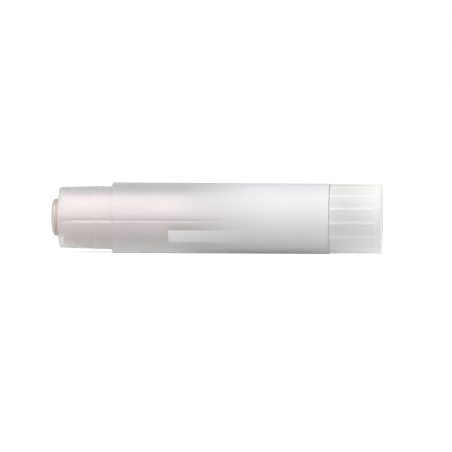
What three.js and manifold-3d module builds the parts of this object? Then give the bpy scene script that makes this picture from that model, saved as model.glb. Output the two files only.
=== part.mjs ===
// Twist-up pigment art stick, lying on its side with its cap off. All sizes are in millimetres.
// Inside the stick group the axis is +Y: it runs from the hand wheel's end face, at 0, to the pigment's tip.
// A round piece is described by a profile of [radius, distance along the axis] points, and a third value
// rounds that corner. Turns about the axis are measured from the top of the stick towards its far side.
import * as THREE from 'three';
import { mergeVertices } from 'three/addons/utils/BufferGeometryUtils.js';
import Module from 'manifold-3d';

const wasm = await Module();
wasm.setup();

// Facets
const roundSides = 48;
const threadSides = 24;
const cornerSteps = 3;
const pointsPerScallop = 6;

// Running gaps and fits
const seamGap = 0.3;
const endPlay = 0.3;
const journalClearance = 0.2;
const carrierClearance = 0.2;
const pigmentClearance = 0.15;
const keyClearance = 0.15;
const threadClearance = 0.2;
const socketClearance = 0.15;
const seatClearance = 0.15;
const labelClearance = 0.03;

// Hand wheel
const wheelLength = 11.8;
const flangeLength = 1.15;
const flangeInset = 0.11;
const gripInset = 0.11;
const scallopCount = 15;
const scallopDepth = 0.15;
const wheelWall = 1.3;
const wheelBase = 1.3;
const hubRadius = 3.3;
const webCount = 5;
const webThickness = 0.8;
const webHeight = 6.5;
const gateRadius = 1.2;
const gateDepth = 0.3;
const smallEdge = 0.25;

// Barrel: body, neck and bore
const bodyLength = 49.5;
const bodyRadiusAtShoulder = 8.06;
const bodyDraft = 0.08;
const bodyEdge = 0.15;
const neckLength = 12.15;
const neckRadiusAtShoulder = 7.17;
const neckRadiusAtMouth = 6.93;
const neckRootFillet = 0.25;
const mouthEdge = 0.35;
const boreRadius = 6.0;
const boreEdge = 0.2;
const floorThickness = 1.8;
const spigotLength = 1.6;
const spigotWall = 0.9;

// Snap bead round the neck, which holds the cap
const beadFromMouth = 8.7;
const beadWidth = 1.2;
const beadHeight = 0.14;

// Keys along the bore, which stop the carrier from turning
const keyCount = 2;
const keyWidth = 0.5;
const keyHeight = 0.4;
const keyFromMouth = 3.3;
const keyTurn = THREE.MathUtils.degToRad(-95.5);
const keyRoot = 0.3;

// Label film, which lies in a shallow recess of the body
const labelThickness = 0.1;
const labelMargin = 0.3;
const labelSplit = 0.4;

// Spindle: lead screw, thrust collar, journal and hexagonal tail
const lead = 4;
const threadHand = -1;
const crestRadius = 2.5;
const rootRadius = 1.75;
const crestWidth = 1.1;
const flankWidth = 0.6;
const spindleBelowMouth = 9.5;
const collarRadius = 3.6;
const collarThickness = 1;
const journalRadius = 2.2;
const tailRadius = 1.9;
const tailLength = 7;
const tailSides = 6;
const spindlePoint = 0.5;

// Carrier: threaded nut below, cup for the pigment's foot above
const retractStroke = 2.5;
const nutLength = 5;
const nutRadius = 3.8;
const nutWeb = 2;
const cupDepth = 5;
const cupWall = 0.9;
const cupSlotCount = 4;
const cupSlotWidth = 1.6;
const cupSlotDepth = 3.5;

// Pigment
const tipProud = 2.02;
const shoulderBelowMouth = 1.1;
const pigmentShoulderEdge = 0.3;
const nubRadius = 4.3;
const nubEdge = 0.8;
const nubCrown = 0.55;
const crownSteps = 4;
const nubGrooveCount = 2;
const nubGrooveDepth = 0.12;
const nubGrooveWidth = 0.3;
const nubGroovePitch = 0.52;
const nubLipLength = 1.2;

// Places along the axis that follow from the sizes
const barrelStart = wheelLength + seamGap;
const boreStart = barrelStart + floorThickness;
const shoulder = barrelStart + bodyLength;
const mouth = shoulder + neckLength;
const hubEnd = barrelStart - endPlay;
const journalStart = hubEnd + seatClearance;
const collarStart = boreStart + endPlay;
const collarEnd = collarStart + collarThickness;
const spindleEnd = mouth - spindleBelowMouth;
const carrierStart = collarEnd + endPlay + retractStroke;
const nutEnd = carrierStart + nutLength;
const cupEnd = nutEnd + cupDepth;
const pigmentShoulder = mouth - shoulderBelowMouth;
const tip = mouth + tipProud;

// Radii that follow from the sizes: the wheel sits just inside the outline of the body
const bodyRadiusAtSeam = bodyRadiusAtShoulder - bodyDraft;
const flangeRadius = bodyRadiusAtShoulder - flangeInset;
const gripRadius = bodyRadiusAtSeam - gripInset;
const wheelInnerRadius = gripRadius - scallopDepth - wheelWall;
const spigotRadius = wheelInnerRadius - seamGap;
const labelRecess = labelThickness + labelClearance;
const carrierRadius = boreRadius - carrierClearance;
const cupRadius = carrierRadius - cupWall;
const pigmentRadius = boreRadius - pigmentClearance;
const pigmentBore = crestRadius + threadClearance + seatClearance;
const keyTip = boreRadius - keyHeight;

// Margin by which a cutting shape overshoots what it cuts, and threads made in excess at each end
const overshoot = 1;
const spareLeadCount = 2;

// Points closer than this are one point of a mesh
const mergeDistance = 1e-5;

// Radius of the tapered body's outside at a distance along the axis
function bodyRadius(along) {
  const share = (along - barrelStart) / bodyLength;
  return THREE.MathUtils.lerp(bodyRadiusAtSeam, bodyRadiusAtShoulder, share);
}

// Radius of the tapered neck's outside at a distance along the axis
function neckRadius(along) {
  const share = (along - shoulder) / neckLength;
  return THREE.MathUtils.lerp(neckRadiusAtShoulder, neckRadiusAtMouth, share);
}

// Arc that replaces the corner between two straight runs, touching both
function cornerArc(before, corner, after, radius) {
  const toBefore = before.clone().sub(corner).normalize();
  const toAfter = after.clone().sub(corner).normalize();
  const halfAngle = Math.acos(THREE.MathUtils.clamp(toBefore.dot(toAfter), -1, 1)) / 2;
  const centre = toBefore.clone().add(toAfter).normalize();
  centre.multiplyScalar(radius / Math.sin(halfAngle)).add(corner);
  const run = radius / Math.tan(halfAngle);
  const first = toBefore.multiplyScalar(run).add(corner).sub(centre);
  const last = toAfter.multiplyScalar(run).add(corner).sub(centre);
  const sweep = Math.atan2(first.cross(last), first.dot(last));
  const points = [];
  for (let step = 0; step <= cornerSteps; step += 1) {
    const point = first.clone().rotateAround(new THREE.Vector2(), (sweep * step) / cornerSteps);
    points.push(point.add(centre));
  }
  return points;
}

// Turns [radius, along, corner radius] rows into profile points. A ring closes on itself, and a solid
// on the axis.
function profile(rows, isRing) {
  const corners = rows.map(([radius, along]) => new THREE.Vector2(radius, along));
  const points = corners.flatMap((corner, index) => {
    const before = corners.at(index - 1);
    const after = corners[(index + 1) % corners.length];
    const edge = rows[index][2];
    return edge ? cornerArc(before, corner, after, edge) : [corner];
  });
  if (isRing) points.push(points[0].clone());
  return points;
}

// Makes a solid from a closed geometry by merging its shared points and dropping faces without area
function solidFrom(geometry) {
  const bare = new THREE.BufferGeometry();
  bare.setAttribute('position', geometry.getAttribute('position'));
  if (geometry.index) bare.setIndex(geometry.index);
  const merged = mergeVertices(bare, mergeDistance);
  const faces = [];
  for (let at = 0; at < merged.index.count; at += 3) {
    const [a, b, c] = [0, 1, 2].map((step) => merged.index.getX(at + step));
    if (a !== b && b !== c && c !== a) faces.push(a, b, c);
  }
  const vertProperties = Float32Array.from(merged.getAttribute('position').array);
  return new wasm.Manifold(new wasm.Mesh({ numProp: 3, vertProperties, triVerts: Uint32Array.from(faces) }));
}

// Revolved solid. Half a facet of turn sets a flat at the bottom, where the stick rests.
function revolve(rows, isRing = false) {
  const halfFacet = Math.PI / roundSides;
  return solidFrom(new THREE.LatheGeometry(profile(rows, isRing), roundSides, halfFacet));
}

// Solid of one outline, seen along the axis, carried from one place along the axis to another
function extrudeAlong(shape, from, to) {
  const geometry = new THREE.ExtrudeGeometry(shape, { depth: to - from, bevelEnabled: false });
  geometry.rotateX(-Math.PI / 2);
  geometry.translate(0, from, 0);
  return solidFrom(geometry);
}

// Bar with its width across the axis, standing from an inner to an outer radius at a turn about the axis
function radialBar(width, inner, outer, from, to, turn) {
  const geometry = new THREE.BoxGeometry(width, to - from, outer - inner);
  geometry.translate(0, (from + to) / 2, (inner + outer) / 2);
  geometry.rotateY(turn);
  return solidFrom(geometry);
}

// Turns of a number of copies, spaced evenly about the axis from a first one
function turnsOf(count, first = 0) {
  return Array.from({ length: count }, (_, index) => first + (index * 2 * Math.PI) / count);
}

// Threaded rod. Its rows follow the helix: each row of points starts where the row one lead before it ends,
// so the four rows of a lead (foot and head of one flank, head and foot of the other) run on unbroken.
function threadedRod(crest, root, crestSpan, from, to) {
  const rowsOfLead = [
    [-crestSpan / 2 - flankWidth, root],
    [-crestSpan / 2, crest],
    [crestSpan / 2, crest],
    [crestSpan / 2 + flankWidth, root],
  ];
  const rowCount = rowsOfLead.length;
  const firstLead = Math.floor(from / lead) - spareLeadCount;
  const leads = Math.ceil((to - from) / lead) + 2 * spareLeadCount;
  const levels = leads * rowCount;
  const points = [];
  for (let level = 0; level < levels; level += 1) {
    const [offset, radius] = rowsOfLead[level % rowCount];
    const base = (firstLead + Math.floor(level / rowCount)) * lead + offset;
    for (let side = 0; side < threadSides; side += 1) {
      const share = side / threadSides;
      const angle = threadHand * share * 2 * Math.PI;
      points.push(radius * Math.sin(angle), base + share * lead, radius * Math.cos(angle));
    }
  }
  const pointAt = (level, side) => {
    const turns = Math.floor(side / threadSides);
    return (level + turns * rowCount) * threadSides + (side % threadSides);
  };
  const faces = [];
  const addFace = (a, b, c) => faces.push(...(threadHand > 0 ? [a, b, c] : [a, c, b]));
  const lastLevel = levels - rowCount - 1;
  for (let level = 0; level < lastLevel; level += 1) {
    for (let side = 0; side < threadSides; side += 1) {
      const [a, b] = [pointAt(level, side), pointAt(level, side + 1)];
      const [c, d] = [pointAt(level + 1, side + 1), pointAt(level + 1, side)];
      addFace(a, b, c);
      addFace(a, c, d);
    }
  }
  const closeEnd = (level, isTop) => {
    const rim = [];
    for (let side = 0; side <= threadSides; side += 1) rim.push(pointAt(level, side));
    for (let step = rowCount - 1; step > 0; step -= 1) rim.push(pointAt(level + step, 0));
    const hub = points.length / 3;
    points.push(0, points[rim[0] * 3 + 1] + lead / 2, 0);
    rim.forEach((point, index) => {
      const next = rim[(index + 1) % rim.length];
      if (isTop) addFace(hub, point, next);
      else addFace(hub, next, point);
    });
  };
  closeEnd(0, false);
  closeEnd(lastLevel, true);
  const geometry = new THREE.BufferGeometry();
  geometry.setAttribute('position', new THREE.Float32BufferAttribute(points, 3));
  geometry.setIndex(faces);
  const blank = revolve([[0, from], [crest + overshoot, from], [crest + overshoot, to], [0, to]]);
  return solidFrom(geometry).intersect(blank);
}

// Grip outline: shallow scallops that meet in ridges
function scallopedOutline() {
  const count = scallopCount * pointsPerScallop;
  const points = Array.from({ length: count }, (_, index) => {
    const share = (index % pointsPerScallop) / pointsPerScallop;
    const depth = scallopDepth * (1 - (2 * share - 1) ** 2);
    const angle = (index / count) * 2 * Math.PI;
    return new THREE.Vector2(Math.sin(angle), Math.cos(angle)).multiplyScalar(gripRadius - depth);
  });
  return new THREE.Shape(points);
}

// Regular outline with a number of sides, measured over its corners
function regularOutline(sides, radius) {
  const points = turnsOf(sides).map((turn) => new THREE.Vector2(Math.sin(turn), Math.cos(turn)));
  return new THREE.Shape(points.map((point) => point.multiplyScalar(radius)));
}

// Hand wheel: scalloped cup with an end flange, closed at its end and open towards the barrel, with a hub
// that grips the spindle's tail and webs that tie the hub to the cup
function handWheel() {
  const flange = revolve([
    [0, 0],
    [flangeRadius, 0, smallEdge],
    [flangeRadius, flangeLength],
    [0, flangeLength],
  ]);
  const grip = extrudeAlong(scallopedOutline(), flangeLength / 2, wheelLength);
  const cavity = revolve([
    [0, wheelBase],
    [wheelInnerRadius, wheelBase, smallEdge],
    [wheelInnerRadius, wheelLength + overshoot],
    [0, wheelLength + overshoot],
  ]);
  const hub = revolve([[0, wheelBase / 2], [hubRadius, wheelBase / 2], [hubRadius, hubEnd], [0, hubEnd]]);
  const socket = extrudeAlong(
    regularOutline(tailSides, tailRadius + socketClearance),
    hubEnd - tailLength - endPlay,
    hubEnd + overshoot,
  );
  const gate = revolve([[0, -overshoot], [gateRadius, -overshoot], [gateRadius, gateDepth], [0, gateDepth]]);
  let wheel = flange.add(grip).subtract(cavity).add(hub);
  for (const turn of turnsOf(webCount)) {
    const outer = wheelInnerRadius + wheelWall / 2;
    wheel = wheel.add(radialBar(webThickness, hubRadius / 2, outer, wheelBase / 2, webHeight, turn));
  }
  return wheel.subtract(socket).subtract(gate);
}

// Key: a low bar on the bore's wall whose mouth end is rounded
function key(turn) {
  const from = boreStart - floorThickness / 2;
  const noseCentre = mouth - keyFromMouth - keyWidth / 2;
  const outline = new THREE.Shape();
  outline.moveTo(-keyWidth / 2, from);
  outline.lineTo(keyWidth / 2, from);
  outline.absarc(0, noseCentre, keyWidth / 2, 0, Math.PI, false);
  const settings = { depth: keyHeight + keyRoot, bevelEnabled: false, curveSegments: 8 };
  const geometry = new THREE.ExtrudeGeometry(outline, settings);
  geometry.translate(0, 0, keyTip);
  geometry.rotateY(turn);
  return solidFrom(geometry);
}

// Barrel: one moulding with a tapered body, a label recess, a neck with a snap bead for the cap, a straight
// bore with keys, a floor that the spindle runs in, and a spigot that centres the hand wheel
function barrel() {
  const recess = (along) => bodyRadius(along) - labelRecess;
  const recessStart = barrelStart + labelMargin;
  const recessEnd = shoulder - labelMargin;
  const beadCentre = mouth - beadFromMouth;
  const shell = revolve([
    [journalRadius + journalClearance, barrelStart],
    [spigotRadius - spigotWall, barrelStart],
    [spigotRadius - spigotWall, barrelStart - spigotLength],
    [spigotRadius, barrelStart - spigotLength, bodyEdge],
    [spigotRadius, barrelStart],
    [bodyRadiusAtSeam, barrelStart, bodyEdge],
    [bodyRadius(recessStart), recessStart],
    [recess(recessStart), recessStart],
    [recess(recessEnd), recessEnd],
    [bodyRadius(recessEnd), recessEnd],
    [bodyRadiusAtShoulder, shoulder, bodyEdge],
    [neckRadiusAtShoulder, shoulder, neckRootFillet],
    [neckRadius(beadCentre - beadWidth / 2), beadCentre - beadWidth / 2],
    [neckRadius(beadCentre) + beadHeight, beadCentre, beadWidth],
    [neckRadius(beadCentre + beadWidth / 2), beadCentre + beadWidth / 2],
    [neckRadiusAtMouth, mouth, mouthEdge],
    [boreRadius, mouth, boreEdge],
    [boreRadius, boreStart],
    [journalRadius + journalClearance, boreStart],
  ], true);
  return turnsOf(keyCount, keyTurn).reduce((solid, turn) => solid.add(key(turn)), shell);
}

// Label: clear film wrapped round the body in its recess, with its two ends just apart at the back
function label() {
  const from = barrelStart + labelMargin + labelClearance;
  const to = shoulder - labelMargin - labelClearance;
  const wrap = revolve([
    [bodyRadius(from) - labelThickness, from],
    [bodyRadius(from), from],
    [bodyRadius(to), to],
    [bodyRadius(to) - labelThickness, to],
  ], true);
  const split = radialBar(
    labelSplit,
    boreRadius,
    bodyRadiusAtShoulder + overshoot,
    barrelStart,
    shoulder,
    keyTurn + Math.PI,
  );
  return wrap.subtract(split);
}

// Spindle: lead screw above a thrust collar, a journal that runs in the barrel's floor, and a hexagonal tail
// that the hand wheel's hub grips
function spindle() {
  const threadStart = collarEnd - collarThickness / 2;
  const thread = threadedRod(crestRadius, rootRadius, crestWidth, threadStart, spindleEnd);
  const point = revolve([
    [0, collarEnd],
    [crestRadius + overshoot, collarEnd],
    [crestRadius + overshoot, spindleEnd - spindlePoint - overshoot],
    [rootRadius - spindlePoint, spindleEnd],
    [0, spindleEnd],
  ]);
  const collar = revolve([
    [0, journalStart],
    [journalRadius, journalStart],
    [journalRadius, collarStart],
    [collarRadius, collarStart, smallEdge],
    [collarRadius, collarEnd],
    [0, collarEnd],
  ]);
  const tail = extrudeAlong(regularOutline(tailSides, tailRadius), hubEnd - tailLength, collarStart);
  return thread.intersect(point).add(collar).add(tail);
}

// Carrier: the nut on the lead screw, with a cup that holds the pigment's foot. Notches let the keys pass,
// and slots in the cup's wall hold the cast pigment.
function carrier() {
  const blank = revolve([
    [0, carrierStart],
    [nutRadius, carrierStart],
    [nutRadius, nutEnd - nutWeb],
    [cupRadius, nutEnd - nutWeb],
    [cupRadius, carrierStart],
    [carrierRadius, carrierStart, smallEdge],
    [carrierRadius, cupEnd],
    [cupRadius, cupEnd],
    [cupRadius, nutEnd],
    [0, nutEnd],
  ]);
  let body = blank.subtract(threadedRod(
    crestRadius + threadClearance,
    rootRadius + threadClearance,
    crestWidth + 2 * threadClearance,
    carrierStart - overshoot,
    nutEnd + overshoot,
  ));
  for (const turn of turnsOf(keyCount, keyTurn)) {
    body = body.subtract(keyway(turn, carrierStart - overshoot, cupEnd + overshoot));
  }
  const firstSlot = keyTurn + Math.PI / cupSlotCount;
  for (const turn of turnsOf(cupSlotCount, firstSlot)) {
    const slotStart = cupEnd - cupSlotDepth;
    body = body.subtract(
      radialBar(cupSlotWidth, nutRadius, boreRadius, slotStart, cupEnd + overshoot, turn),
    );
  }
  return body;
}

// Space that a key needs in what slides past it
function keyway(turn, from, to) {
  return radialBar(keyWidth + 2 * keyClearance, keyTip - keyClearance, boreRadius, from, to, turn);
}

// Ring grooves round the nub, as profile rows from the first groove to the last
function nubGrooves() {
  return Array.from({ length: nubGrooveCount }, (_, index) => {
    const centre = tip - nubLipLength - (nubGrooveCount - 1 - index) * nubGroovePitch;
    return [
      [nubRadius, centre - nubGrooveWidth / 2],
      [nubRadius - nubGrooveDepth, centre],
      [nubRadius, centre + nubGrooveWidth / 2],
    ];
  }).flat();
}

// Crowned end face of the nub, as profile rows from its edge to the axis
function nubFace() {
  return Array.from({ length: crownSteps + 1 }, (_, index) => {
    const share = 1 - index / crownSteps;
    const row = [nubRadius * share, tip - nubCrown * share ** 2];
    return index === 0 ? [...row, nubEdge] : row;
  });
}

// Pigment: cast in the barrel, with a foot in the carrier's cup, a bore over the spindle, grooves where the
// keys run, and a narrower ringed nub at the mouth
function pigment() {
  const footStart = nutEnd + seatClearance;
  const footRadius = cupRadius - seatClearance;
  const boreEnd = spindleEnd + retractStroke + endPlay;
  const blank = revolve([
    [pigmentBore, footStart],
    [footRadius, footStart],
    [footRadius, cupEnd + seatClearance],
    [pigmentRadius, cupEnd + seatClearance],
    [pigmentRadius, pigmentShoulder, pigmentShoulderEdge],
    [nubRadius, pigmentShoulder],
    ...nubGrooves(),
    ...nubFace(),
    [0, boreEnd],
    [pigmentBore, boreEnd],
  ], true);
  const passKeys = (solid, turn) => solid.subtract(keyway(turn, cupEnd, mouth));
  return turnsOf(keyCount, keyTurn).reduce(passKeys, blank);
}

// Mesh of a solid, under the name and with the finish of its piece
function piece(name, solid, finish) {
  const { vertProperties, triVerts } = solid.getMesh();
  const geometry = new THREE.BufferGeometry();
  geometry.setAttribute('position', new THREE.BufferAttribute(Float32Array.from(vertProperties), 3));
  geometry.setIndex(new THREE.BufferAttribute(Uint32Array.from(triVerts), 1));
  geometry.computeVertexNormals();
  const mesh = new THREE.Mesh(geometry, new THREE.MeshStandardMaterial(finish));
  mesh.name = name;
  return mesh;
}

const stick = new THREE.Group();
stick.add(piece('barrel', barrel(), { color: 0xd6d8d4, roughness: 0.35, metalness: 0 }));
stick.add(piece('label', label(), { color: 0xe9e8ea, roughness: 0.3, metalness: 0 }));
stick.add(piece('hand_wheel', handWheel(), { color: 0xdfe1df, roughness: 0.4, metalness: 0 }));
stick.add(piece('spindle', spindle(), { color: 0xf0f0ec, roughness: 0.4, metalness: 0 }));
stick.add(piece('carrier', carrier(), { color: 0xf2f2ee, roughness: 0.4, metalness: 0 }));
stick.add(piece('pigment_stick', pigment(), { color: 0xdccac4, roughness: 0.55, metalness: 0 }));

// The stick lies along X with its tip towards -X, and rests on the flat under its widest place
stick.rotation.z = Math.PI / 2;
stick.position.set(tip / 2, 0, bodyRadiusAtShoulder * Math.cos(Math.PI / roundSides));

const model = new THREE.Group();
model.add(stick);
export default model;
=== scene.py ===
# %% [markdown]
# A twist-up pigment stick lies on a white table with its cap off. Its working parts come from a packed
# model, the frame, which this script never moves. Every surface that shows at rest is a finer copy of a
# frame part, made here, and it rides on the same body, so the stick still turns and feeds as it should.

# %% Load the frame
import math

import bmesh
import bpy
import numpy as np
from mathutils import Matrix, Vector


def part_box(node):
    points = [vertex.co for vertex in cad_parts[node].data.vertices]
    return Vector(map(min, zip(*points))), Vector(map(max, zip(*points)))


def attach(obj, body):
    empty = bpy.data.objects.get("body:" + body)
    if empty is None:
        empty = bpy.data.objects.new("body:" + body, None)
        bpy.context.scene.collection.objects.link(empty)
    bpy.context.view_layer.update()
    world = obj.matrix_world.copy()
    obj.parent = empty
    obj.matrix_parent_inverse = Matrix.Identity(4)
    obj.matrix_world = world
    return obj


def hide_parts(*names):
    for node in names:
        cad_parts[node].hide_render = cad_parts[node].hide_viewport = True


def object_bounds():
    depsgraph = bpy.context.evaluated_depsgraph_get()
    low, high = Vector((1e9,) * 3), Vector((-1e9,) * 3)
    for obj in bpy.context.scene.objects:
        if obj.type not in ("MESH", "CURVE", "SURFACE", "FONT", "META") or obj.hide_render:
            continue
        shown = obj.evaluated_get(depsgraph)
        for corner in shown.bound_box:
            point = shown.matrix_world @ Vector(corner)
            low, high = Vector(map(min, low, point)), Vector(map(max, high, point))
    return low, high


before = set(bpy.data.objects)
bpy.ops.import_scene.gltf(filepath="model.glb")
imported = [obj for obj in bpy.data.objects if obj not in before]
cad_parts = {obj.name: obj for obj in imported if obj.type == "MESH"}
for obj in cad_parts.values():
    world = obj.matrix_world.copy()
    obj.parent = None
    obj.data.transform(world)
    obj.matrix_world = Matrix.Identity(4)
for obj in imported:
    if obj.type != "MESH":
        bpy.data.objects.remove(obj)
cad_low, cad_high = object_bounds()
print("frame parts:", sorted(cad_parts))

# %% [markdown]
# The frame is in metres, and a moulded part is easier to think about in millimetres, so sizes are written
# as a count of millimetres times MM. The stick lies along X. A place along it is a distance from the hand
# wheel's end face. The axis stands half the barrel's width above the table, because the barrel lies on
# it.

# %% Axis and places
MM = 0.001
wheel_end = cad_high.x
axis_height = (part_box("barrel")[0].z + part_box("barrel")[1].z) / 2


def along_of(x):
    """Distance from the wheel's end face of a place on X."""
    return wheel_end - x


def x_at(along):
    """Place on X at a distance from the wheel's end face."""
    return wheel_end - along


tip = along_of(cad_low.x)
wheel_length = along_of(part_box("hand_wheel")[0].x)
mouth = along_of(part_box("barrel")[0].x)
seam_gap = 0.08 * MM
barrel_start = wheel_length + seam_gap
neck_length = 12.15 * MM
shoulder = mouth - neck_length
print("stick", round(tip / MM, 2), "mm long, axis", round(axis_height / MM, 3), "mm above the table")

# %% [markdown]
# The photograph was taken through a long lens from a little past the middle, so the wheel's end face just
# shows and the stick hardly narrows with distance. The camera repeats that: about 1.2 metres away, a
# field of view of 5 degrees, turned a few degrees round the stick and rolled by a fifth of a degree,
# since the stick isn't quite level in the picture. It looks down by only 2 degrees, so the key in the
# bore faces it as in the picture.

# %% Camera
picture_width = 452
millimetres_per_pixel = 0.2286
stick_middle_pixel = (216.4, 218.15)
camera_turn = math.radians(3.7)
camera_height_angle = math.radians(2)
camera_roll = math.radians(0.2)
camera_distance = 1.2

picture_middle = picture_width / 2
width_at_stick = picture_width * millimetres_per_pixel * MM
middle = Vector(((cad_low.x + cad_high.x) / 2, 0, axis_height))


def direction(turn, height_angle):
    """Unit vector from the stick to a place that is turned round it from the front and raised by an
    angle."""
    level = math.cos(height_angle)
    return Vector((math.sin(turn) * level, -math.cos(turn) * level, math.sin(height_angle)))


back = direction(camera_turn, camera_height_angle)
turned = (-back).to_track_quat("-Z", "Y").to_matrix() @ Matrix.Rotation(camera_roll, 3, "Z")
right, up = turned.col[0], turned.col[1]
slide_right = (picture_middle - stick_middle_pixel[0]) * millimetres_per_pixel * MM
slide_up = (stick_middle_pixel[1] - picture_middle) * millimetres_per_pixel * MM
camera_place = middle + back * camera_distance + right * slide_right + up * slide_up
camera_data = bpy.data.cameras.new("long_lens")
camera_data.angle = 2 * math.atan(width_at_stick / 2 / camera_distance)
camera_data.clip_start = 0.01
camera_data.clip_end = 20
camera = bpy.data.objects.new("camera", camera_data)
camera.matrix_world = Matrix.Translation(camera_place) @ turned.to_4x4()
bpy.context.scene.collection.objects.link(camera)
bpy.context.scene.camera = camera
print("field of view", round(math.degrees(camera_data.angle), 2), "degrees")

# %% [markdown]
# Shader maths reads best as arithmetic. This small class wraps one output of a shader node: adding,
# subtracting or multiplying wrapped outputs adds the Math nodes that do it, and its node method makes
# every other kind.

# %% Shader arithmetic


class Wire:
    """One output of a shader node, or a bare node tree to start from."""

    def __init__(self, tree, socket=None):
        self.tree = tree
        self.socket = socket

    def node(self, kind, settings=None, inputs=None, output=0):
        """Adds a node, sets it up, fills its inputs with numbers or wires, and wraps one of its outputs."""
        made = self.tree.nodes.new(kind)
        for name, value in (settings or {}).items():
            setattr(made, name, value)
        for place, value in (inputs or {}).items():
            if isinstance(value, Wire):
                self.tree.links.new(value.socket, made.inputs[place])
            else:
                made.inputs[place].default_value = value
        return Wire(self.tree, made.outputs[output]) if made.outputs else Wire(self.tree)

    def other(self, name):
        """Another output of the node that this one belongs to."""
        return Wire(self.tree, self.socket.node.outputs[name])

    def math(self, operation, *values):
        """A Math node on the given wires and numbers."""
        return self.node("ShaderNodeMath", {"operation": operation}, dict(enumerate(values)))

    def __add__(self, other):
        return self.math("ADD", self, other)

    def __sub__(self, other):
        return self.math("SUBTRACT", self, other)

    def __mul__(self, other):
        return self.math("MULTIPLY", self, other)

    def __rsub__(self, other):
        return self.math("SUBTRACT", other, self)

    __radd__ = __add__
    __rmul__ = __mul__

    def parts(self):
        """The three parts of a vector."""
        split = self.node("ShaderNodeSeparateXYZ", {}, {0: self})
        return [split.other(name) for name in "XYZ"]

    def step(self, low, high):
        """Goes smoothly from 0 at low to 1 at high. With low the greater, it falls as the value grows."""
        settings = {"interpolation_type": "SMOOTHSTEP"}
        return self.node("ShaderNodeMapRange", settings, {0: self, 1: low, 2: high})

    def blend(self, first, second):
        """Colour that goes from first to second as this output goes from 0 to 1."""
        return self.node("ShaderNodeMix", {"data_type": "RGBA"}, {0: self, 6: first, 7: second}, 2)

    def mix(self, first, second):
        """Shader that goes from first to second as this output goes from 0 to 1."""
        return self.node("ShaderNodeMixShader", {}, {0: self, 1: first, 2: second})

    def noise(self, place, scale, detail=3.0, roughness=0.5, stretch=(1, 1, 1)):
        """Cloudy pattern between 0 and 1, with cells of about one part in scale of a metre."""
        stretched = self.node("ShaderNodeVectorMath", {"operation": "MULTIPLY"}, {0: place, 1: stretch})
        inputs = {"Vector": stretched, "Scale": scale, "Detail": detail, "Roughness": roughness}
        return self.node("ShaderNodeTexNoise", {}, inputs)


def new_finish(name):
    """An empty node material, returned with its tree wrapped and the place of the point in the object."""
    material = bpy.data.materials.new(name)
    material.use_nodes = True
    material.node_tree.nodes.clear()
    tree = Wire(material.node_tree)
    place = tree.node("ShaderNodeTexCoord", output="Object")
    return material, tree, place


def close_finish(tree, shader, volume=None):
    """Ends a material in its surface shader and, where it has one, its volume."""
    inputs = {"Surface": shader}
    if volume:
        inputs["Volume"] = volume
    tree.node("ShaderNodeOutputMaterial", {}, inputs)


def shaded(colour, share=1.0):
    """A colour with each of its three parts times a share, and an alpha of 1."""
    return (*[share * part for part in colour], 1)


print("shader arithmetic ready")

# %% [markdown]
# A round moulding is a profile carried round the axis. Spin or a Screw modifier could do it, but then
# each key, scallop and groove would need a cut of its own. Here the profile is a list of corners, radius
# and distance along the axis, and a third value rounds that corner. Straight runs get extra points so
# that a later step can push the keys, scallops and grooves into them. Everything is worked out as whole
# arrays: one array of radii and one of distances, with a row for each profile point and a column for each
# turn about the axis.

# %% Profiles
longest_run = 0.5 * MM
rounding_error = 1e-6


def corner_arc(before, corner, after, radius, steps=5):
    """Points of the circle of a radius that touches both runs of a corner. Its centre lies on the line
    that halves the corner, radius / sin(half the corner) away. The arc turns from one touching point to
    the other."""
    to_before = (before - corner) / np.linalg.norm(before - corner)
    to_after = (after - corner) / np.linalg.norm(after - corner)
    half = math.acos(float(np.clip(to_before @ to_after, -1, 1))) / 2
    middle_way = (to_before + to_after) / np.linalg.norm(to_before + to_after)
    centre = corner + middle_way * radius / math.sin(half)
    run = radius / math.tan(half)
    first = corner + to_before * run - centre
    last = corner + to_after * run - centre
    sweep = math.atan2(first[0] * last[1] - first[1] * last[0], first @ last)
    angles = np.linspace(0, sweep, steps + 1)[:, None]
    sideways = np.array([-first[1], first[0]])
    return centre + np.cos(angles) * first + np.sin(angles) * sideways


def profile(rows, is_ring, longest):
    """Profile points through the corners. Each run is split evenly into the fewest pieces that are no
    longer than the longest allowed: a point is the run's start plus a share of the way to its end."""
    corners = [np.array(row[:2], float) for row in rows]
    parts = []
    for index, row in enumerate(rows):
        before, after = corners[index - 1], corners[(index + 1) % len(rows)]
        rounded = len(row) > 2
        corner = corners[index]
        parts.append(corner_arc(before, corner, after, row[2]) if rounded else corner[None])
    points = np.concatenate(parts)
    if is_ring:
        points = np.concatenate([points, points[:1]])
    lengths = np.linalg.norm(np.diff(points, axis=0), axis=1)
    counts = np.maximum(1, np.ceil(lengths / longest - rounding_error)).astype(int)
    shares = np.concatenate([np.arange(n) / n for n in counts])
    owner = np.repeat(np.arange(len(counts)), counts)
    dense = points[owner] + (points[owner + 1] - points[owner]) * shares[:, None]
    return dense if is_ring else np.concatenate([dense, points[-1:]])


def around(rows, turns, is_ring, longest=longest_run):
    """Radius and distance arrays, one row for each profile point and one column for each turn."""
    points = profile(rows, is_ring, longest)
    radius = np.repeat(points[:, :1], len(turns), axis=1)
    along = np.repeat(points[:, 1:], len(turns), axis=1)
    return radius, along


square_corner = corner_arc(np.array([1.0, 0.0]), np.zeros(2), np.array([0.0, 1.0]), 0.5)
print("a rounded corner has", len(square_corner), "points, from", square_corner[0], "to", square_corner[-1])

# %% [markdown]
# The arrays become a mesh in one go. A column of points is joined to the next, and the last to the first,
# so the skin closes round the axis. A profile that is a ring closes on itself too. A profile that starts
# and ends on the axis has all its columns meet there, and those points are merged into one at each end.

# %% Skin of a round piece
axis_merge = 1e-7
smallest_edge = 1e-8
sharp_angle = math.radians(50)


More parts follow.
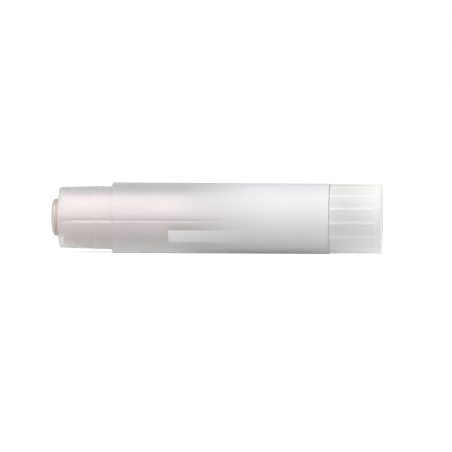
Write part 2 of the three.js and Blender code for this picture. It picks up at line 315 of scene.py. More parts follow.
def grid_points(radius, along, turns):
    """One point for each row and column. X comes from the distance along, Y is the radius times the
    turn's sine, and Z is the axis height plus the radius times its cosine."""
    points = np.stack([x_at(along), radius * np.sin(turns), axis_height + radius * np.cos(turns)], axis=-1)
    return points.reshape(-1, 3)


def grid_quads(rows, columns, closes_rows, closes_columns):
    """The four points of each face: one point, the next column's, and the same two of the next row,
    backwards. A point's number is its row times the count of columns, plus its column."""
    row = np.arange(rows if closes_rows else rows - 1)[:, None]
    column = np.arange(columns if closes_columns else columns - 1)[None, :]
    next_row, next_column = (row + 1) % rows, (column + 1) % columns
    quads = np.stack([
        row * columns + column,
        row * columns + next_column,
        next_row * columns + next_column,
        next_row * columns + column,
    ], axis=-1)
    return quads.reshape(-1, 4)


def new_piece(name, points, faces, merge=0.0):
    """Object at the origin with a mesh of the points and faces. Points that meet on the axis are merged,
    and the skin is shaded smoothly except over sharp edges."""
    mesh = bpy.data.meshes.new(name)
    mesh.from_pydata(points.tolist(), [], faces)
    mesh.validate()
    shape = bmesh.new()
    shape.from_mesh(mesh)
    if merge:
        bmesh.ops.remove_doubles(shape, verts=shape.verts, dist=merge)
    bmesh.ops.dissolve_degenerate(shape, edges=shape.edges, dist=smallest_edge)
    shape.to_mesh(mesh)
    shape.free()
    mesh.polygons.foreach_set("use_smooth", [True] * len(mesh.polygons))
    mesh.set_sharp_from_angle(angle=sharp_angle)
    piece = bpy.data.objects.new(name, mesh)
    bpy.context.scene.collection.objects.link(piece)
    print(name, len(mesh.polygons), "faces")
    return piece


def wrap(name, radius, along, turns, is_ring):
    """Closed mesh that goes all the way round, with its points at the radii and distances of the
    arrays."""
    faces = grid_quads(*radius.shape, is_ring, True).tolist()
    return new_piece(name, grid_points(radius, along, turns), faces, 0.0 if is_ring else axis_merge)


def dress(piece, material, body, slot, *nodes):
    """Gives a piece its finish, sets it on its body, and lets it stand for frame parts."""
    piece.data.materials.append(material)
    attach(piece, body)
    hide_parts(*nodes)
    print(piece.name, "has", material.name, "and rides on", body)


# %% [markdown]
# The barrel is one moulding of natural polypropylene: thick in the body, thin in the neck, with a
# straight bore, a floor for the screw to turn in and a spigot that the hand wheel runs on. Its label lies
# in a shallow recess.

# %% Barrel sizes
body_radius_at_seam = 8.05 * MM
body_radius_at_shoulder = 8.06 * MM
neck_radius_at_shoulder = 7.26 * MM
neck_radius_at_mouth = 7.0 * MM
bore_radius = 6.0 * MM
floor_thickness = 1.8 * MM
bore_start = barrel_start + floor_thickness
spindle_hole = 2.4 * MM
spigot_radius = 6.12 * MM
spigot_wall = 0.9 * MM
spigot_length = 1.6 * MM
label_recess = 0.13 * MM
label_margin = 0.3 * MM
seam_margin = 0.06 * MM
bead_centre = mouth - 8.7 * MM
bead_half = 0.6 * MM
bead_height = 0.14 * MM
small_edge = 0.1 * MM
spigot_root, spigot_lip = 0.15 * MM, 0.2 * MM
seam_edge, recess_edge, body_edge = 0.02 * MM, 0.04 * MM, 0.15 * MM
neck_root, bead_foot, bead_crown = 0.25 * MM, 0.6 * MM, 1.0 * MM
mouth_edge, bore_edge, floor_corner = 0.35 * MM, 0.25 * MM, 0.3 * MM


def body_radius(along):
    """Outside radius of the body: a straight line from its radius at the seam to that at the shoulder."""
    share = (along - barrel_start) / (shoulder - barrel_start)
    return body_radius_at_seam + (body_radius_at_shoulder - body_radius_at_seam) * share


def neck_radius(along):
    """Outside radius of the neck: a straight line from its radius at the shoulder to that at the
    mouth."""
    share = (along - shoulder) / (mouth - shoulder)
    return neck_radius_at_shoulder + (neck_radius_at_mouth - neck_radius_at_shoulder) * share


recess_start, recess_end = barrel_start + seam_margin, shoulder - label_margin
print("wall of the body", round((body_radius_at_shoulder - bore_radius) / MM, 2), "mm thick")

# %% [markdown]
# Two keys run along the bore and stop the carrier from turning. Each is a low bump of the bore's radius,
# so it can be pressed into the arrays before they become a mesh, and needs no Boolean. That asks for
# columns of points that lie closer together beside the keys, which keep their sides crisp.

# %% Turns and keys
key_turn = math.radians(-95.5)
key_turns = (key_turn, key_turn + math.pi)
key_half_width = 0.25 * MM
key_height = 0.4 * MM
key_end = mouth - 3.3 * MM
key_top_share, key_foot_share = 0.72, 1.12
key_band = 0.12
tiny = 0.001 * MM


def angles_between(turns, at):
    """Angle from each of the turns to another one, the short way round."""
    return abs((turns - at + math.pi) % (2 * math.pi) - math.pi)


def turns_with(fine_at, half_width, count=144, fine=9):
    """Evenly spaced turns, where the stretch round each of some turns has its own, closer spacing. Even
    turns that would fall in or right beside such a stretch are left out."""
    even = np.arange(count) * 2 * math.pi / count - math.pi
    to_nearest = np.min([angles_between(even, at) for at in fine_at], axis=0)
    bands = [np.linspace(at - half_width, at + half_width, fine) for at in fine_at]
    turns = np.concatenate([even[to_nearest > half_width * 1.05]] + bands)
    return np.sort((turns + math.pi) % (2 * math.pi) - math.pi)


def smooth_rise(value, low, high):
    """0 below low, 1 above high, and between them share squared times (3 - 2 share) of the way."""
    share = np.clip((value - low) / (high - low), 0, 1)
    return share * share * (3 - 2 * share)


barrel_turns = turns_with(key_turns, key_band)
print("barrel in", len(barrel_turns), "columns")

# %% [markdown]
# The barrel's profile is a closed ring: out along the floor, down and up the spigot, along the outside to
# the mouth, and back along the bore. A key's height depends on how far a point of the bore is from the
# key's middle line, and past its end from its end point, so its end is round.

# %% Barrel shape
radius, along = around([
    (spindle_hole, barrel_start, small_edge),
    (spigot_radius - spigot_wall, barrel_start, small_edge),
    (spigot_radius - spigot_wall, barrel_start - spigot_length, spigot_root),
    (spigot_radius, barrel_start - spigot_length, spigot_lip),
    (spigot_radius, barrel_start, small_edge),
    (body_radius_at_seam, barrel_start, seam_edge),
    (body_radius(recess_start), recess_start, seam_edge),
    (body_radius(recess_start) - label_recess, recess_start, recess_edge),
    (body_radius(recess_end) - label_recess, recess_end, recess_edge),
    (body_radius(recess_end), recess_end, recess_edge),
    (body_radius_at_shoulder, shoulder, body_edge),
    (neck_radius_at_shoulder, shoulder, neck_root),
    (neck_radius(bead_centre - bead_half), bead_centre - bead_half, bead_foot),
    (neck_radius(bead_centre) + bead_height, bead_centre, bead_crown),
    (neck_radius(bead_centre + bead_half), bead_centre + bead_half, bead_foot),
    (neck_radius_at_mouth, mouth, mouth_edge),
    (bore_radius, mouth, bore_edge),
    (bore_radius, bore_start, floor_corner),
    (spindle_hole, bore_start, small_edge),
], barrel_turns, True)
on_bore = abs(radius - bore_radius) < tiny
for at in key_turns:
    beside = (angles_between(barrel_turns, at) * bore_radius)[None, :]
    past_end = np.maximum(0, along - (key_end - key_half_width))
    reach = np.hypot(beside, past_end)
    outside = smooth_rise(reach, key_top_share * key_half_width, key_foot_share * key_half_width)
    radius = np.where(on_bore & (along > bore_start), radius - key_height * (1 - outside), radius)
barrel = wrap("barrel_moulding", radius, along, barrel_turns, True)

# %% [markdown]
# Bent light is slow to find a lamp. So the rays that only look for light, from the matte things inside
# and behind, go straight through the plastic instead of being bent, and so do those that have been bent
# many times. A Light Path node tells the kinds of rays apart.

# %% Rays that go straight
most_bends = 4


def goes_straight(tree):
    """1 for the rays that leave a matte surface, that test whether a lamp is in sight, or that are bent
    too often, and 0 for the others."""
    path = tree.node("ShaderNodeLightPath")
    looks_for_light = tree.math("MAXIMUM", path.other("Is Shadow Ray"), path.other("Is Diffuse Ray"))
    is_spent = tree.math("GREATER_THAN", path.other("Ray Depth"), most_bends - 0.5)
    return tree.math("MAXIMUM", looks_for_light, is_spent)


print("plastic bends a ray", most_bends, "times at most")

# %% [markdown]
# Natural polypropylene is clear but slightly milky, a little green where the light takes a long way
# through it, and satin from the mould's finish. A Principled shader with part of its light transmitted
# gives the first, a thin absorbing volume the second, and a fine bump with uneven roughness the last.
# Scattering inside the wall is too slow to follow, so a share of Translucent shader can stand for it: it
# takes light from its other side, which evens a hollow piece such as the wheel from top to bottom. The
# marks paint shade and light on the skin: they darken its colour as painted shade, and a Mix Shader lays
# a little Diffuse over it as a painted highlight. A thin wall lets more of the straight light pass.

# %% Frosted plastic
polypropylene_ior = 1.49
depth_density = 60.0
mould_grain = 0.004 * MM
cloud_scale, grain_scale = 260, 5200
cloud_shade, dark_shade = 0.96, 0.93
roughness_swing = 0.06
painted_light_share = 0.3
thin_passing = 0.99


def frosted(name, milk, tint, clearness, passing, inner, roughness, gloss=0.5, marks=None, thin=None):
    """Translucent moulded plastic. milk is the colour of the light that it scatters and tint is what its
    depth lets through. clearness is the share of light that it bends, passing is the share of straight
    light that gets through a skin, and inner is how much of its light comes from its other side. marks
    gives its mask of painted shade, its mask of painted light and that light's colour, and thin gives the
    places where its wall is thin."""
    material, tree, place = new_finish(name)
    cloud = tree.noise(place, cloud_scale, 4, 0.6, (0.5, 1, 1))
    texture = tree.noise(place, grain_scale, 2, 0.6)
    bump = tree.node("ShaderNodeBump", {}, {"Strength": 0.08, "Distance": mould_grain, "Height": texture})
    skin = cloud.step(0.3, 0.75).blend(shaded(milk, cloud_shade), shaded(milk))
    # The marks' first mask darkens the skin's colour: painted shade.
    if marks:
        painted_shade, painted_light, painted_light_colour = marks(tree, place)
        if painted_shade:
            skin = painted_shade.blend(skin, shaded(milk, dark_shade))
    shader = tree.node("ShaderNodeBsdfPrincipled", {}, {
        "Base Color": skin,
        "Roughness": cloud * roughness_swing + (roughness - roughness_swing / 2),
        "IOR": polypropylene_ior,
        "Specular IOR Level": gloss,
        "Transmission Weight": clearness,
        "Normal": bump,
    })
    lit_through = tree.node("ShaderNodeBsdfTranslucent", {}, {"Color": shaded(milk), "Normal": bump})
    shader = tree.node("ShaderNodeMixShader", {}, {0: inner, 1: shader, 2: lit_through})
    # Where the marks call for painted light, a little Diffuse goes over the skin: a painted highlight.
    if marks:
        painted_highlight = tree.node("ShaderNodeBsdfDiffuse", {}, {"Color": painted_light_colour})
        shader = (painted_light * painted_light_share).mix(shader, painted_highlight)
    depth = tree.node("ShaderNodeVolumeAbsorption", {}, {"Color": shaded(tint), "Density": depth_density})
    straight = tree.node("ShaderNodeBsdfTransparent", {}, {"Color": shaded(milk, passing)})
    if thin:
        through_thin = tree.node("ShaderNodeBsdfTransparent", {}, {"Color": shaded(milk, thin_passing)})
        straight = thin(tree, place).mix(straight, through_thin)
    close_finish(tree, goes_straight(tree).mix(shader, straight), depth)
    return material


print("frosted plastic bends light by", polypropylene_ior)

# %% [markdown]
# Over each key, from its end on, the skin carries a thin line of painted shade with a line of painted
# highlight below it. They stand for the light that the key's flanks bend. The lines are masks of the
# point's place, because the mesh is too coarse round the axis to carry lines so thin. The painted shade
# fades in the body, where the wall is thick. The mouth's rim is a little darker as well: a painted shade.

# %% Barrel finish
key_below_axis = 0.4 * MM
mark_edge = 0.1 * MM
mark_width = 0.42 * MM
rim_mark_start, rim_mark_full = mouth - 1.4 * MM, mouth - 0.4 * MM
shoulder_blend, spigot_blend = 0.5 * MM, 0.5 * MM
mark_left_in_body = 0.1
# Colour of the painted highlight below each key.
key_painted_light_colour = (0.98, 0.89, 0.88, 1)


def painted_key_lines_and_rim_shade(tree, place):
    """Painted shade mask, painted light mask and painted light colour of the skin over the keys, with the
    mouth's rim in the shade mask as well. The keys are half a turn apart, so the height above a key counts
    upwards in front and downwards at the back."""
    x_place, y_place, z_place = place.parts()
    side = y_place.step(tiny, -tiny) * 2 - 1
    above_key = (z_place - axis_height) * side + key_below_axis
    past_end = x_place.step(x_at(key_end) - mark_edge, x_at(key_end) + mark_edge)
    under_top = above_key.step(mark_width + mark_edge, mark_width - mark_edge)
    over_bottom = above_key.step(-mark_width - mark_edge, mark_edge - mark_width)
    # Painted shade on a thin line just above the key, and a painted highlight on a line just below it.
    painted_shade = above_key.step(-mark_edge, mark_edge) * under_top
    painted_light = above_key.step(mark_edge, -mark_edge) * over_bottom
    # Painted shade at the mouth's rim.
    at_rim = x_place.step(x_at(rim_mark_start), x_at(rim_mark_full))
    in_neck = x_place.step(x_at(shoulder) + shoulder_blend, x_at(shoulder) - shoulder_blend)
    painted_shade_line = painted_shade * past_end * (in_neck * (1 - mark_left_in_body) + mark_left_in_body)
    return tree.math("MAXIMUM", painted_shade_line, at_rim), painted_light * past_end, key_painted_light_colour


def at_spigot(tree, place):
    """1 at the barrel's floor and its thin spigot, which let more light through than the wall does."""
    x_place, y_place, z_place = place.parts()
    return x_place.step(x_at(barrel_start) - spigot_blend, x_at(barrel_start))


barrel_finish = frosted(
    "frosted_barrel", milk=(0.96, 0.965, 0.965), tint=(0.55, 0.57, 0.565), clearness=0.87, passing=0.9,
    inner=0.0, roughness=0.31, marks=painted_key_lines_and_rim_shade, thin=at_spigot,
)
dress(barrel, barrel_finish, "barrel", "frosted_plastic", "barrel")

# %% [markdown]
# The label is a clear film, a tenth of a millimetre thick, wrapped round the body with its ends just
# apart at the back. A plane with Solidify and a bend would do. Its skin is a ring profile like the
# barrel's instead, so it follows the body to a hair, and its columns stop at the split instead of
# closing.

# %% Label shape
label_thickness = 0.1 * MM
film_clearance = 0.03 * MM
split_half = 0.2 * MM
film_columns = 193


def strip(name, radius, along, turns):
    """Closed mesh of a ring profile carried part of the way round, with a flat face at each end."""
    rows, columns = radius.shape
    first_end = (np.arange(rows) * columns).tolist()
    last_end = (np.arange(rows)[::-1] * columns + columns - 1).tolist()
    faces = grid_quads(rows, columns, True, False).tolist() + [first_end, last_end]
    return new_piece(name, grid_points(radius, along, turns), faces)


film_start, film_end = recess_start + film_clearance, recess_end - film_clearance
split_turn = split_half / body_radius_at_shoulder
film_turns = np.linspace(split_turn, 2 * math.pi - split_turn, film_columns) + key_turn + math.pi
radius, along = around([
    (body_radius(film_start) - label_thickness, film_start),
    (body_radius(film_start), film_start),
    (body_radius(film_end), film_end),
    (body_radius(film_end) - label_thickness, film_end),
], film_turns, True)
label = strip("label_film", radius, along, film_turns)

# %% [markdown]
# The film is clear over the neck end of the body and turns white towards the wheel, so the pigment shows
# and fades. The bare film lets everything through, so it is a Refraction shader that hardly bends light,
# and a Mix Shader lays pale ink over it, more of it the nearer the wheel. A plain panel, paler still,
# lies across the lower front. Its edges are masks of the point's place, which stay sharp at any distance.

# %% Label finish
ink_from, ink_to = -11.5 * MM, 12.5 * MM
panel_from, panel_to = -10.5 * MM, 12.0 * MM
panel_bottom, panel_top = axis_height - 5.3 * MM, axis_height - 2.6 * MM
print_edge = 0.04 * MM
ink_cover, panel_cover, panel_over_ink = 0.52, 0.58, 0.28
bare_cover, fibre_cover = 0.02, 0.02
material, tree, place = new_finish("label_print")
x_place, y_place, z_place = place.parts()
fibre = tree.noise(place, 900, 3, 0.5)
fade = x_place.step(ink_from, ink_to)
in_length = x_place.step(panel_from, panel_from + print_edge) * x_place.step(panel_to, panel_from)
over_bottom = z_place.step(panel_bottom, panel_bottom + print_edge)
under_top = z_place.step(panel_top + print_edge, panel_top)
panel = in_length * (over_bottom * under_top) * y_place.step(0.0, -print_edge)
printed = fibre.blend((0.785, 0.78, 0.792, 1), (0.825, 0.82, 0.83, 1))
pale = fibre.blend((0.82, 0.815, 0.822, 1), (0.86, 0.855, 0.862, 1))
ink = tree.node("ShaderNodeBsdfPrincipled", {}, {
    "Base Color": panel.blend(printed, pale),
    "Roughness": fibre * 0.1 + 0.42,
    "IOR": 1.35,
})
bent = tree.node("ShaderNodeBsdfRefraction", {}, {"Color": (1, 1, 1, 1), "Roughness": 0.3, "IOR": 1.01})
straight = tree.node("ShaderNodeBsdfTransparent")
bare_film = goes_straight(tree).mix(bent, straight)
over_panel = panel * (fade * -panel_over_ink + panel_cover)
cover = fade * ink_cover + over_panel + (fibre * fibre_cover + bare_cover)
close_finish(tree, cover.mix(bare_film, ink))
dress(label, material, "barrel", "label_film", "label")

# %% [markdown]
# The hand wheel is a cup with shallow scallops that meet in narrow ridges, and a plain flange at its end.
# Away from a ridge the radius dips by the depth of a scallop, and the dip fades out at the flange. The
# inside is the same skin: wall, floor, and a hub with a hexagonal socket. The webs that tie the hub to
# the wall lift the floor wherever a point lies within half a web's thickness of a web's middle. Cutting
# scallops with Booleans would leave long thin faces, which shade badly on frosted plastic.

# %% Hand wheel sizes
flange_length = 1.15 * MM
flange_radius = 8.06 * MM
grip_radius = 7.97 * MM
scallop_count = 15
scallop_depth = 0.1 * MM
ridge_crest = 0.08 * MM
ridge_foot = 0.65 * MM
grip_rise = 0.3 * MM
wheel_inner_radius = 6.42 * MM
wheel_base = 1.3 * MM
hub_radius = 3.3 * MM
end_play = 0.3 * MM
hub_end = barrel_start - end_play
tail_radius = 1.9 * MM
tail_length = 7.0 * MM
socket_clearance, socket_room = 0.15 * MM, 0.3 * MM
socket_radius = tail_radius + socket_clearance
socket_end = hub_end - tail_length - socket_room
gate_radius = 1.2 * MM
gate_depth = 0.3 * MM
web_count = 5
web_half_width = 0.4 * MM
web_height = 6.5 * MM
gate_edge, flange_edge, wheel_edge = 0.05 * MM, 0.25 * MM, 0.15 * MM
flange_step = 0.02 * MM
wheel_corner, hub_root = 0.25 * MM, 0.2 * MM
wall_middle = wheel_inner_radius + 0.5 * MM
pitch = 2 * math.pi / scallop_count
print("a scallop every", round(math.degrees(pitch), 1), "degrees")

# %% [markdown]
# The wheel's profile runs from the axis at the end face, over the outside, and back into the cup and its
# socket. Only then do the scallops, the hexagon and the webs change its arrays, each where a mask says
# that its part of the skin is.

# %% Hand wheel shape
columns_per_scallop = 36
web_columns = 23
web_band = 0.14


def hexagon(turns):
    """Distance to the side of a hexagon, as a share of the distance to its corners, one of which is at
    turn 0: the cosine of half a side's angle over the cosine of the angle from the middle of the nearest
    side."""
    side = math.pi / 3
    return math.cos(side / 2) / np.cos(turns % side - side / 2)


web_turns = [index * 2 * math.pi / web_count for index in range(web_count)]
wheel_turns = turns_with(web_turns, web_band, count=scallop_count * columns_per_scallop, fine=web_columns)
radius, along = around([
    (0, gate_depth),
    (gate_radius, gate_depth),
    (gate_radius, 0, gate_edge),
    (flange_radius, 0, flange_edge),
    (flange_radius, flange_length, small_edge),
    (grip_radius, flange_length + flange_step),
    (grip_radius, wheel_length, wheel_edge),
    (wheel_inner_radius, wheel_length, wheel_edge),
    (wheel_inner_radius, wheel_base, wheel_corner),
    (hub_radius, wheel_base, hub_root),
    (hub_radius, hub_end, wheel_edge),
    (socket_radius, hub_end, small_edge),
    (socket_radius, socket_end),
    (0, socket_end),
], wheel_turns, False)
from_ridge = abs((wheel_turns + pitch / 2) % pitch - pitch / 2) * grip_radius
dip = scallop_depth * smooth_rise(from_ridge, ridge_crest, ridge_foot)
on_grip = smooth_rise(along, flange_length, flange_length + grip_rise) * (radius > wall_middle)
in_cavity = (radius > hub_radius - tiny) & (radius < wheel_inner_radius + tiny) & (along > wheel_base - tiny)
in_socket = abs(radius - socket_radius) < tiny
radius = np.where(in_socket, radius * hexagon(wheel_turns), radius - on_grip * dip)
to_web = np.min([angles_between(wheel_turns, at) for at in web_turns], axis=0)
on_web = in_cavity & (radius * np.sin(np.minimum(to_web, math.pi / 2)) < web_half_width)
along = np.where(on_web, np.maximum(along, web_height), along)
wheel = wrap("wheel_moulding", radius, along, wheel_turns, False)

# %% [markdown]
# The crests of the ridges and the rim by the seam carry painted highlights: a milky Diffuse laid over
# them. The turn of a point about the axis, as a count of ridges and without its whole part, tells how far
# the nearest crest is. The wheel is hollow and thinner than the barrel's body, so much of its light comes
# through from its other side.

# %% Hand wheel finish
crest_mark_edge, crest_mark_core = 0.4 * MM, 0.06 * MM
rim_mark_length = 3.6 * MM
# Strengths of the painted highlights on the crests and on the rim by the seam.
crest_painted_light, rim_painted_light = 0.7, 0.75
wheel_painted_light_colour = (0.96, 0.965, 0.965, 1)


def painted_light_on_ridges(tree, place):
    """No painted shade mask, the mask of painted highlights on the ridges and the rim, and their colour.
    The distance to a crest is the part of a pitch that the turn is away from it, times the pitch and the
    radius of the grip."""
    x_place, y_place, z_place = place.parts()
    turn = tree.math("ARCTAN2", y_place, z_place - axis_height)
    past_crest = tree.math("FRACT", turn * (1 / pitch) + 0.5) - 0.5
    to_crest = tree.math("ABSOLUTE", past_crest) * (pitch * grip_radius)
    past_flange = x_place.step(x_at(flange_length), x_at(flange_length) - grip_rise)
    # Painted highlights on the crests, and on the rim by the seam.
    crest = to_crest.step(crest_mark_edge, crest_mark_core) * past_flange
    rim = x_place.step(x_at(wheel_length) + rim_mark_length, x_at(wheel_length))
    return None, crest * crest_painted_light + rim * rim_painted_light, wheel_painted_light_colour


wheel_finish = frosted(
    "frosted_wheel", milk=(0.965, 0.965, 0.96), tint=(0.93, 0.94, 0.93), clearness=0.35, passing=0.985,
    inner=0.67, roughness=0.3, gloss=0.6, marks=painted_light_on_ridges,
)
dress(wheel, wheel_finish, "drive", "wheel_plastic", "hand_wheel")

# %% [markdown]
# The pigment is a soft wax cast in the barrel. It fills the bore, narrows to a nub at the mouth with two
# fine rings, has grooves where the keys run, and a foot that sits in the carrier's cup. It is bored out
# over the lead screw. It is made like the barrel, so that its grooves follow from the same turns as the
# keys that run in them.

# %% Pigment sizes
pigment_radius = 5.85 * MM
pigment_shoulder = mouth - 1.1 * MM
nub_radius = 4.3 * MM
nub_lip_length = 1.2 * MM
nub_crown = 0.55 * MM
foot_radius = 4.75 * MM
foot_start = along_of(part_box("pigment_stick")[1].x)
seat_clearance = 0.15 * MM
foot_end = along_of(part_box("carrier")[0].x) + seat_clearance
screw_bore = 2.85 * MM
spindle_end = along_of(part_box("spindle")[0].x)
bore_end = spindle_end + 2.8 * MM
key_clearance = 0.06 * MM
groove_to_key = 0.28 * MM
groove_floor_share, groove_top_share = 0.8, 1.1
groove_band = 0.16
crown_start, crown_points = 0.9, 10
ring_pitch = 0.52 * MM
ring_half_width = 0.15 * MM
ring_depth = 0.12 * MM
screw_bore_corner, foot_edge, pigment_edge = 0.4 * MM, 0.15 * MM, 0.2 * MM
shoulder_edge, nub_root, ring_corner, nub_edge = 0.35 * MM, 0.15 * MM, 0.08 * MM, 0.8 * MM
print("pigment", round((tip - foot_start) / MM, 2), "mm long, nub", round((tip - mouth) / MM, 2), "mm proud")

# %% [markdown]
# The profile starts in the bore over the screw's end and ends in the middle of the nub's face, which is a
# low crown: its height falls with the square of the distance from the axis.

# %% Pigment shape


def ring(centre):
    """Profile corners of a ring groove in the nub."""
    return [
        (nub_radius, centre - ring_half_width),
        (nub_radius - ring_depth, centre, ring_corner),
        (nub_radius, centre + ring_half_width),
    ]


crown_shares = np.linspace(crown_start, 0, crown_points)
nub_face = [(nub_radius * share, tip - nub_crown * share ** 2) for share in crown_shares]
pigment_turns = turns_with(key_turns, groove_band)
radius, along = around([
    (0, bore_end),
    (screw_bore, bore_end, screw_bore_corner),
    (screw_bore, foot_start, small_edge),
    (foot_radius, foot_start, foot_edge),
    (foot_radius, foot_end),
    (pigment_radius, foot_end, pigment_edge),
    (pigment_radius, pigment_shoulder, shoulder_edge),
    (nub_radius, pigment_shoulder, nub_root),
    *ring(tip - nub_lip_length - ring_pitch),
    *ring(tip - nub_lip_length),
    (nub_radius, tip - nub_crown, nub_edge),
    *nub_face,
], pigment_turns, False)
on_side = abs(radius - pigment_radius) < shoulder_edge
half_width = key_half_width + key_clearance
for at in key_turns:
    beside = (angles_between(pigment_turns, at) * pigment_radius)[None, :]
    outside = smooth_rise(beside, groove_floor_share * half_width, groove_top_share * half_width)
    radius = np.where(on_side, np.minimum(radius, pigment_radius - groove_to_key * (1 - outside)), radius)
pigment = wrap("pigment_cast", radius, along, pigment_turns, False)

# %% [markdown]
# Wax with pearl pigment: a pale pink body with cloudy variation and tiny pits. The flakes of pearl
# reflect more than wax does, which a high specular level and a little Metallic give. In the body the wall
# is thick and takes light away, so the wax there is painted a shade lighter than near the mouth, as
# painted light. The nub is painted darker and browner, as painted shade, and a soft Coat gives it a sheen.

# %% Pigment finish
nub_start, nub_full = tip - 2.6 * MM, tip - 1.4 * MM
cast_blend = 1.5 * MM
pearl_share = 0.25
wax_pit = 0.03 * MM
material, tree, place = new_finish("pearl_wax")
x_place, y_place, z_place = place.parts()
cloud = tree.noise(place, 180, 4, 0.6, (0.35, 1, 1))
speck = tree.noise(place, 3800, 2, 0.7)
clouds = cloud.step(0.3, 0.7)
on_nub = x_place.step(x_at(nub_start), x_at(nub_full))
into_body = x_place.step(x_at(shoulder) - cast_blend, x_at(shoulder) + cast_blend)
# Painted light: the wax in the body is a shade lighter. Painted shade: the nub's wax is darker and browner.
near_mouth = clouds.blend((0.575, 0.44, 0.436, 1), (0.635, 0.492, 0.486, 1))
body_painted_lighter = clouds.blend((0.625, 0.487, 0.48, 1), (0.685, 0.539, 0.53, 1))
nub_painted_shade = clouds.blend((0.43, 0.345, 0.31, 1), (0.47, 0.38, 0.345, 1))
colour = on_nub.blend(into_body.blend(near_mouth, body_painted_lighter), nub_painted_shade)
bump = tree.node("ShaderNodeBump", {}, {"Strength": 0.3, "Distance": wax_pit, "Height": speck + cloud})
shader = tree.node("ShaderNodeBsdfPrincipled", {}, {
    "Base Color": colour,
    "Roughness": speck * 0.2 + 0.35,
    "Metallic": (1 - on_nub) * pearl_share,
    "Coat Weight": on_nub * 0.9,
    "Coat IOR": 1.9,
    "Coat Roughness": 0.35,
    "Specular IOR Level": 1.0,
    "Normal": bump,
})
close_finish(tree, shader)
dress(pigment, material, "carriage", "pigment", "pigment_stick")

# %% [markdown]
# The spindle is the lead screw that feeds the pigment. Its thread is a helix, so the distance of a point
# from the nearest crest depends on both its distance along the axis and its turn: one turn moves the
# crest on by one lead. The radius follows from that distance: full on the crest, less down the flank, and
# the root's beyond it. It starts with the hexagonal tail in the hub, then the journal in the barrel's
# floor and the collar that takes the thrust. A Screw modifier makes a thread too, but not one skin with
# the tail and the collar.

# %% Spindle shape
lead = 4.0 * MM
thread_hand = -1
crest_radius = 2.5 * MM
root_radius = 1.75 * MM
crest_half_width = 0.55 * MM
flank_width = 0.6 * MM
journal_radius = 2.2 * MM
collar_radius = 3.6 * MM
collar_thickness = 1.0 * MM
collar_edge = 0.25 * MM
collar_start = bore_start + end_play
collar_end = collar_start + collar_thickness
journal_start = hub_end + seat_clearance
point_radius = root_radius - 0.5 * MM
point_slope = 1.5
thread_run = 0.2 * MM
spindle_columns = 72


def thread_radius(along, turns):
    """Radius of the thread at a distance along the axis and a turn. The distance to the nearest crest is
    what is left of the distance along, less the part of a lead that the turn stands for, after whole
    leads are taken away. The radius falls in a straight line over the flank."""
    from_crest = along - thread_hand * lead * turns / (2 * math.pi)
    to_crest = abs((from_crest + lead / 2) % lead - lead / 2)
    climb = np.clip((crest_half_width + flank_width - to_crest) / flank_width, 0, 1)
    return root_radius + (crest_radius - root_radius) * climb


spindle_turns = np.linspace(-math.pi, math.pi, spindle_columns + 1)[:-1]
radius, along = around([
    (0, hub_end - tail_length),
    (tail_radius, hub_end - tail_length),
    (tail_radius, journal_start),
    (journal_radius, journal_start),
    (journal_radius, collar_start),
    (collar_radius, collar_start, collar_edge),
    (collar_radius, collar_end, small_edge),
    (crest_radius, collar_end),
    (crest_radius, spindle_end),
    (0, spindle_end),
], spindle_turns, False, longest=thread_run)
on_tail = abs(radius - tail_radius) < tiny
on_thread = abs(radius - crest_radius) < tiny
point = point_radius + (spindle_end - along) * point_slope
radius = np.where(on_tail, radius * hexagon(spindle_turns), radius)
radius = np.where(on_thread, np.minimum(thread_radius(along, spindle_turns), point), radius)
spindle = wrap("spindle_moulding", radius, along, spindle_turns, False)

# %% [markdown]
# The carrier is a nut with a cup. It hides in the barrel until the pigment is fed out, so its frame part
# stays as it is and only gets the same finish as the spindle: white moulded plastic with a fine grain.

# %% Inner mouldings
white_grain = 0.01 * MM


def white_moulding(name):
    """Opaque white plastic with slight clouding and a fine grain."""
    material, tree, place = new_finish(name)
    cloud = tree.noise(place, 420, 3)
    bump = tree.node("ShaderNodeBump", {}, {"Strength": 0.2, "Distance": white_grain, "Height": cloud})
    shader = tree.node("ShaderNodeBsdfPrincipled", {}, {
        "Base Color": cloud.blend((0.82, 0.82, 0.8, 1), (0.88, 0.88, 0.86, 1)),
        "Roughness": cloud * 0.15 + 0.35,
        "Normal": bump,
    })
    close_finish(tree, shader)
    return material


dress(spindle, white_moulding("spindle_white"), "drive", "spindle_plastic", "spindle")
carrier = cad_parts["carrier"]
carrier.data.materials.clear()
carrier.data.materials.append(white_moulding("carrier_white"))

# %% [markdown]
# The table has to look pure white and still darken under the stick. A matte white table under one lamp
# does only the second, and a glowing one only the first. So it is both: a grey matte surface that takes
# the shadow, and a glow added to it. The light that falls on things gets only the small glow of the
# table's own. Where the camera, a reflection or a view through the plastic meets the table, the glow is
# brighter, and brighter still far away, where less of the lamp's light arrives.

# %% Table
white = (1, 1, 1, 1)
half_table = 4.0
table_grey = (0.48, 0.474, 0.464, 1)
own_glow, near_glow, far_glow = 0.19, 0.72, 0.85
far_from, far_to = 0.3, 1.2
table_mesh = bpy.data.meshes.new("table_top")
signs = [(-1, -1), (1, -1), (1, 1), (-1, 1)]
table_mesh.from_pydata([(x * half_table, y * half_table, 0) for x, y in signs], [], [(0, 1, 2, 3)])
table = bpy.data.objects.new("table_top", table_mesh)
bpy.context.scene.collection.objects.link(table)


def seen_directly(tree):
    """1 where the camera, a reflection or a view through plastic looks, and 0 for the light that falls on
    things."""
    path = tree.node("ShaderNodeLightPath")
    outside = tree.math("MAXIMUM", path.other("Is Camera Ray"), path.other("Is Glossy Ray"))
    return tree.math("MAXIMUM", outside, path.other("Is Transmission Ray"))


def glowing(tree, strength):
    """White light of a strength, given off by a surface."""
    return tree.node("ShaderNodeEmission", {}, {"Color": white, "Strength": strength})


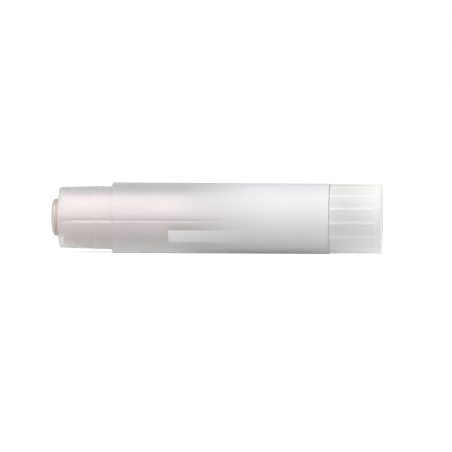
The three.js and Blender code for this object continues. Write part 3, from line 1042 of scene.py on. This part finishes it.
material, tree, place = new_finish("white_table")
matte = tree.node("ShaderNodeBsdfDiffuse", {}, {"Color": table_grey})
far = tree.node("ShaderNodeVectorMath", {"operation": "LENGTH"}, {0: place}, 1).step(far_from, far_to)
own_light = glowing(tree, own_glow)
seen = far.mix(glowing(tree, near_glow), glowing(tree, far_glow))
glow = seen_directly(tree).mix(own_light, seen)
close_finish(tree, tree.node("ShaderNodeAddShader", {}, {0: matte, 1: glow}))
table_mesh.materials.append(material)
print("table", 2 * half_table, "m wide")

# %% [markdown]
# The room is pale, even light from all round, a little blue against the lamp. The camera, reflections and
# views through the plastic see white in its place, up to just above the horizon. Higher up the white
# fades into the room's own light, so that the top of the plastic doesn't mirror a white ceiling.

# %% Room
room_light = 0.43
room_colour = (0.965, 0.98, 1, 1)
white_up_to, white_gone_at = 0.04, 0.5
world = bpy.data.worlds.new("bright_room")
world.use_nodes = True
world.node_tree.nodes.clear()
sky = Wire(world.node_tree)
upwards = sky.node("ShaderNodeTexCoord", output="Generated").parts()[2]
backdrop = seen_directly(sky) * upwards.step(white_gone_at, white_up_to)
room = sky.node("ShaderNodeBackground", {}, {"Color": room_colour, "Strength": room_light})
wall = sky.node("ShaderNodeBackground", {}, {"Color": white, "Strength": 1.0})
sky.node("ShaderNodeOutputWorld", {}, {"Surface": backdrop.mix(room, wall)})
bpy.context.scene.world = world
print("room light", room_light)

# %% [markdown]
# One large softbox stands high in front of the stick and a little to the left. Its size is what gives the
# round barrel a broad, soft light band and the table a shadow without an edge.

# %% Lamp
lamp_angle = math.radians(51)
lamp_turn = math.radians(-12)
lamp_distance = 0.8
lamp_data = bpy.data.lights.new("softbox", "AREA")
lamp_data.shape = "RECTANGLE"
lamp_data.size = 2.2
lamp_data.size_y = 1.3
lamp_data.energy = 16.3
lamp = bpy.data.objects.new("softbox", lamp_data)
towards = direction(lamp_turn, lamp_angle)
facing = towards.to_track_quat("Z", "Y").to_matrix().to_4x4()
lamp.matrix_world = Matrix.Translation(middle + towards * lamp_distance) @ facing
bpy.context.scene.collection.objects.link(lamp)
print("softbox", lamp_data.energy, "W at", lamp_distance, "m")

# %% [markdown]
# Blender's usual view transform softens bright colours, which would turn the white ground grey. Standard
# shows each colour as it was mixed.

# %% Colours as written
bpy.context.scene.view_settings.view_transform = "Standard"
print("view transform", bpy.context.scene.view_settings.view_transform)
